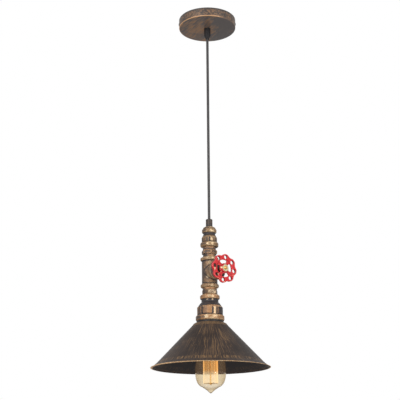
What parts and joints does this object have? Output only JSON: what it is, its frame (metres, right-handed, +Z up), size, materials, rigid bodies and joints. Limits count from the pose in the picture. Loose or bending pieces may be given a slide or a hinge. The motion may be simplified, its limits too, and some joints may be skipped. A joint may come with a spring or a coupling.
{
  "type": "pendant lamp",
  "caption": "Pendant lamp on a straight cord: round canopy, pipe-fitting body with a red handwheel, conical metal shade and a squirrel-cage bulb.",
  "frame": {"origin": "middle of the ceiling bracket's upper face, which lies on the ceiling", "axes": "+Z up, the lamp hangs along -Z; the bracket runs along X; the picture is seen from -Y"},
  "size_m": [0.25, 0.25, 0.8488],
  "materials": {
    "zinc_steel": "zinc plated",
    "aged_bronze_paint": "dark bronze paint brushed with copper",
    "aged_bronze_iron": "cast, dark bronze rubbed to copper on the edges",
    "dark_iron": "dark bronze paint",
    "blackened_steel": "blackened",
    "white_plastic": "moulded",
    "black_plastic": "moulded, smooth",
    "black_rubber": "soft",
    "black_bakelite": "moulded",
    "brass": "plain",
    "cord_sheath": "round sheath, slightly matt",
    "brown_insulation": "lead insulation",
    "blue_insulation": "lead insulation",
    "green_insulation": "lead insulation, green with yellow",
    "white_ceramic": "unglazed",
    "red_paint": "thick satin paint",
    "amber_glass": "blown, amber tint",
    "black_glass": "fused, opaque",
    "clear_glass": "pressed",
    "tin": "soldered",
    "wire_steel": "drawn wire",
    "filament_wire": "carbonised wire with a warm sheen"
  },
  "bodies": {
    "ceiling": {"ceiling_bracket": "zinc_steel", "canopy_cover": "aged_bronze_paint", "canopy_screws": "blackened_steel", "terminal_block": "white_plastic", "terminal_screws": "zinc_steel", "terminal_fixing_screw": "zinc_steel", "earth_screw": "brass", "earth_tag": "brass", "cord_grip_body": "black_plastic", "cord_grip_seal": "black_rubber", "cord_grip_cap": "black_plastic", "cord_grip_locknut": "black_plastic", "cord_upper_end": "cord_sheath", "ceiling_live_lead": "brown_insulation", "ceiling_neutral_lead": "blue_insulation", "ceiling_earth_lead": "green_insulation"},
    "cord": {"suspension_cord": "cord_sheath"},
    "lamp": {"top_nipple": "dark_iron", "cord_bush": "black_plastic", "cord_lock_screw": "blackened_steel", "cord_lower_end": "cord_sheath", "upper_reducing_socket": "aged_bronze_iron", "upper_hexagon_nipple": "aged_bronze_iron", "tee": "aged_bronze_iron", "outlet_bush": "aged_bronze_iron", "gland_nut": "aged_bronze_iron", "lower_hexagon_nipple": "aged_bronze_iron", "lower_reducing_socket": "aged_bronze_iron", "holder_plate": "zinc_steel", "holder_tube": "zinc_steel", "holder_locknut": "zinc_steel", "plate_earth_screw": "brass", "lampholder_cap": "black_bakelite", "lampholder_skirt": "black_bakelite", "lampholder_insert": "white_ceramic", "screw_shell": "brass", "centre_contact": "brass", "holder_terminals": "brass", "holder_terminal_screws": "zinc_steel", "shade_ring": "black_bakelite", "shade_collar": "dark_iron", "shade": "aged_bronze_paint", "holder_live_lead": "brown_insulation", "holder_neutral_lead": "blue_insulation", "holder_earth_lead": "green_insulation"},
    "handwheel": {"handwheel": "red_paint", "wheel_washer": "brass", "wheel_screw": "brass", "valve_spindle": "brass"},
    "bulb": {"bulb_glass": "amber_glass", "bulb_cap": "brass", "cap_insulator": "black_glass", "cap_tip_contact": "tin", "bulb_stem": "clear_glass", "bulb_lead_ins": "wire_steel", "filament_supports": "wire_steel", "filament": "filament_wire"}
  },
  "joints": [
    {"name": "cord_swing", "type": "hinge", "parent": "ceiling", "child": "cord", "pos_m": [0, 0, -0.0468], "axis": [0, 1, 0], "range_deg": [-20, 20]},
    {"name": "lamp_tilt", "type": "hinge", "parent": "cord", "child": "lamp", "pos_m": [0, 0, -0.4778], "axis": [1, 0, 0], "range_deg": [-20, 20]},
    {"name": "wheel_turn", "type": "hinge", "parent": "lamp", "child": "handwheel", "pos_m": [0, 0, -0.596], "axis": [0.5592, -0.829, 0], "continuous": true},
    {"name": "bulb_removal", "type": "slide", "parent": "lamp", "child": "bulb", "axis": [0, 0, -1], "range_m": [0, 0.03]}
  ]
}
